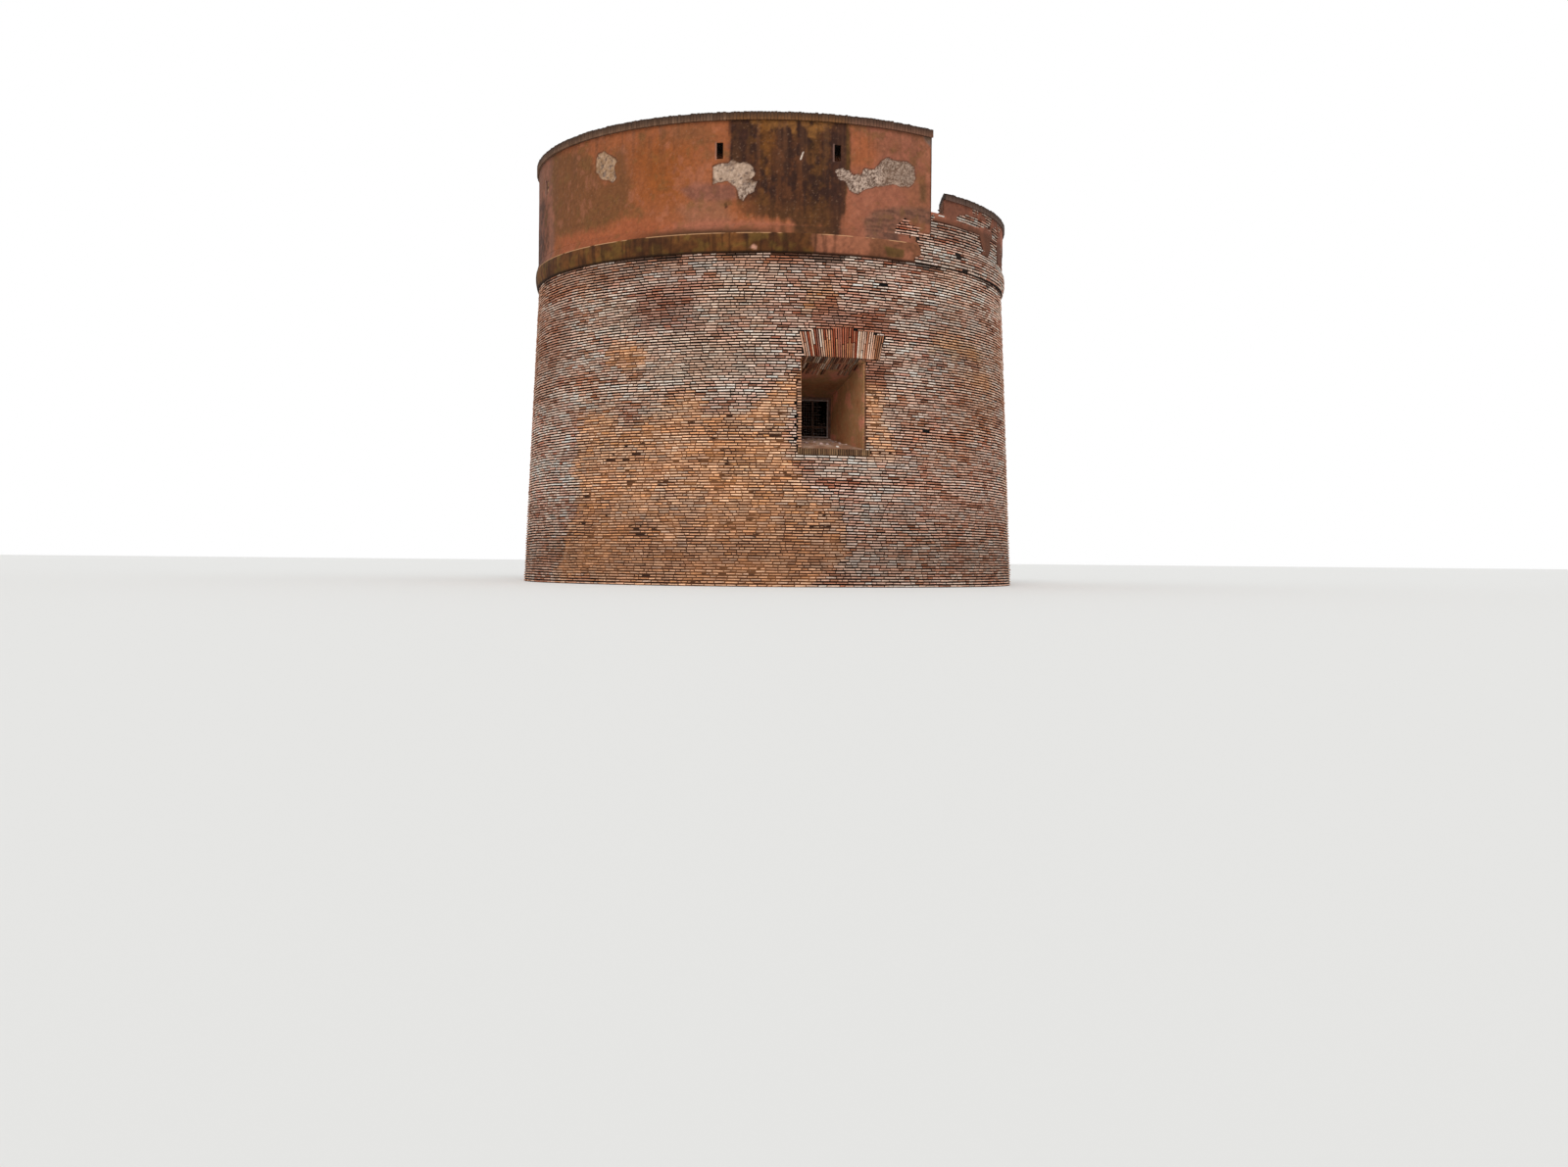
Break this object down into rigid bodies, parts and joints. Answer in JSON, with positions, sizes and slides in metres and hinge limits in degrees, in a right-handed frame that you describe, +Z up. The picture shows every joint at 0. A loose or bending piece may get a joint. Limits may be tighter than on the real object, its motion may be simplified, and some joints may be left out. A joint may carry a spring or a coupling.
{
  "type": "round brick watchtower",
  "caption": "Round battered brick tower with a vaulted room, splayed embrasures, a cordon, a rendered parapet with loopholes and a lower crenellated parapet.",
  "frame": {"origin": "on the tower's axis at ground level, the centre of its round base", "axes": "+Z up; the front embrasure faces -Y, and +X is to the right of someone who faces it"},
  "size_m": [10.072, 10.072, 8.44],
  "materials": {
    "wall_brick": "weathered brick in courses",
    "arch_brick": "brick on edge",
    "sill_brick": "brick on edge",
    "reveal_plaster": "smooth plaster, stained",
    "window_iron": "dull dark paint",
    "cordon_render": "render, stained and mossy",
    "wall_render": "terracotta render, stained and patched",
    "low_wall_brick": "brick with the remains of render",
    "cope_brick": "grey brick on edge",
    "vault_brick": "plain brick",
    "floor_brick": "worn brick paving"
  },
  "bodies": {
    "root": {"apron_back": "wall_brick", "apron_front": "wall_brick", "arch_back": "arch_brick", "arch_front": "arch_brick", "base_wall_back_left": "wall_brick", "base_wall_back_right": "wall_brick", "base_wall_front_left": "wall_brick", "base_wall_front_right": "wall_brick", "cordon_back_left": "cordon_render", "cordon_back_right": "cordon_render", "cordon_front_left": "cordon_render", "cordon_front_right": "cordon_render", "head_back": "wall_brick", "head_front": "wall_brick", "high_cope_1": "cope_brick", "high_cope_2": "cope_brick", "high_cope_3": "cope_brick", "high_wall_1": "wall_render", "high_wall_2": "wall_render", "high_wall_3": "wall_render", "high_wall_4": "wall_render", "high_wall_5": "wall_render", "high_wall_6": "wall_render", "low_wall_1": "low_wall_brick", "low_wall_2": "low_wall_brick", "low_wall_3": "low_wall_brick", "merlon_cope_1": "cope_brick", "merlon_cope_2": "cope_brick", "merlon_cope_3": "cope_brick", "reveal_plaster_back": "reveal_plaster", "reveal_plaster_front": "reveal_plaster", "room_floor": "floor_brick", "room_wall_back_left": "wall_brick", "room_wall_back_right": "wall_brick", "room_wall_front_left": "wall_brick", "room_wall_front_right": "wall_brick", "sill_course_back": "sill_brick", "sill_course_front": "sill_brick", "terrace_floor": "floor_brick", "terrace_vault": "vault_brick", "window_frame_back": "window_iron", "window_frame_front": "window_iron"}
  },
  "joints": []
}
